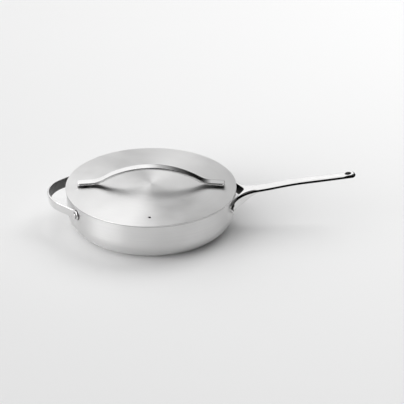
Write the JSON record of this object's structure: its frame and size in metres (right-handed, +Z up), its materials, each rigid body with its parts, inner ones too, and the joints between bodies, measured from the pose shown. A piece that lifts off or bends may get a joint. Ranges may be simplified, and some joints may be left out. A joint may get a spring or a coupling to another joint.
{
  "type": "saute pan with lid",
  "caption": "Wide, straight-sided metal pan with a long forked handle, a helper loop and a shallow domed lift-off lid with a bridge handle.",
  "frame": {"origin": "middle of the pan's flat base, on the surface that the pan stands on", "axes": "+X along the long handle, +Z up through the lid, -Y on the side with the lid's vent hole; the helper handle is at -X"},
  "size_m": [0.5494, 0.305, 0.1145],
  "materials": {
    "brushed_steel": "spun, fine circular brushing",
    "polished_steel": "polished stainless steel",
    "core_aluminium": "rolled, seen only at the rim"
  },
  "bodies": {
    "pan": {"pan_outer_shell": "brushed_steel", "pan_core": "core_aluminium", "pan_inner_shell": "brushed_steel", "main_handle": "polished_steel", "main_handle_rivets": "polished_steel", "helper_handle": "polished_steel", "helper_handle_rivets": "polished_steel"},
    "lid": {"lid_panel": "brushed_steel", "lid_locating_ring": "brushed_steel", "lid_handle": "polished_steel", "lid_handle_spacers": "polished_steel", "lid_handle_screws": "polished_steel"}
  },
  "joints": [
    {"name": "lid_lift", "type": "slide", "parent": "pan", "child": "lid", "axis": [0, 0, 1], "range_m": [0, 0.07]}
  ]
}
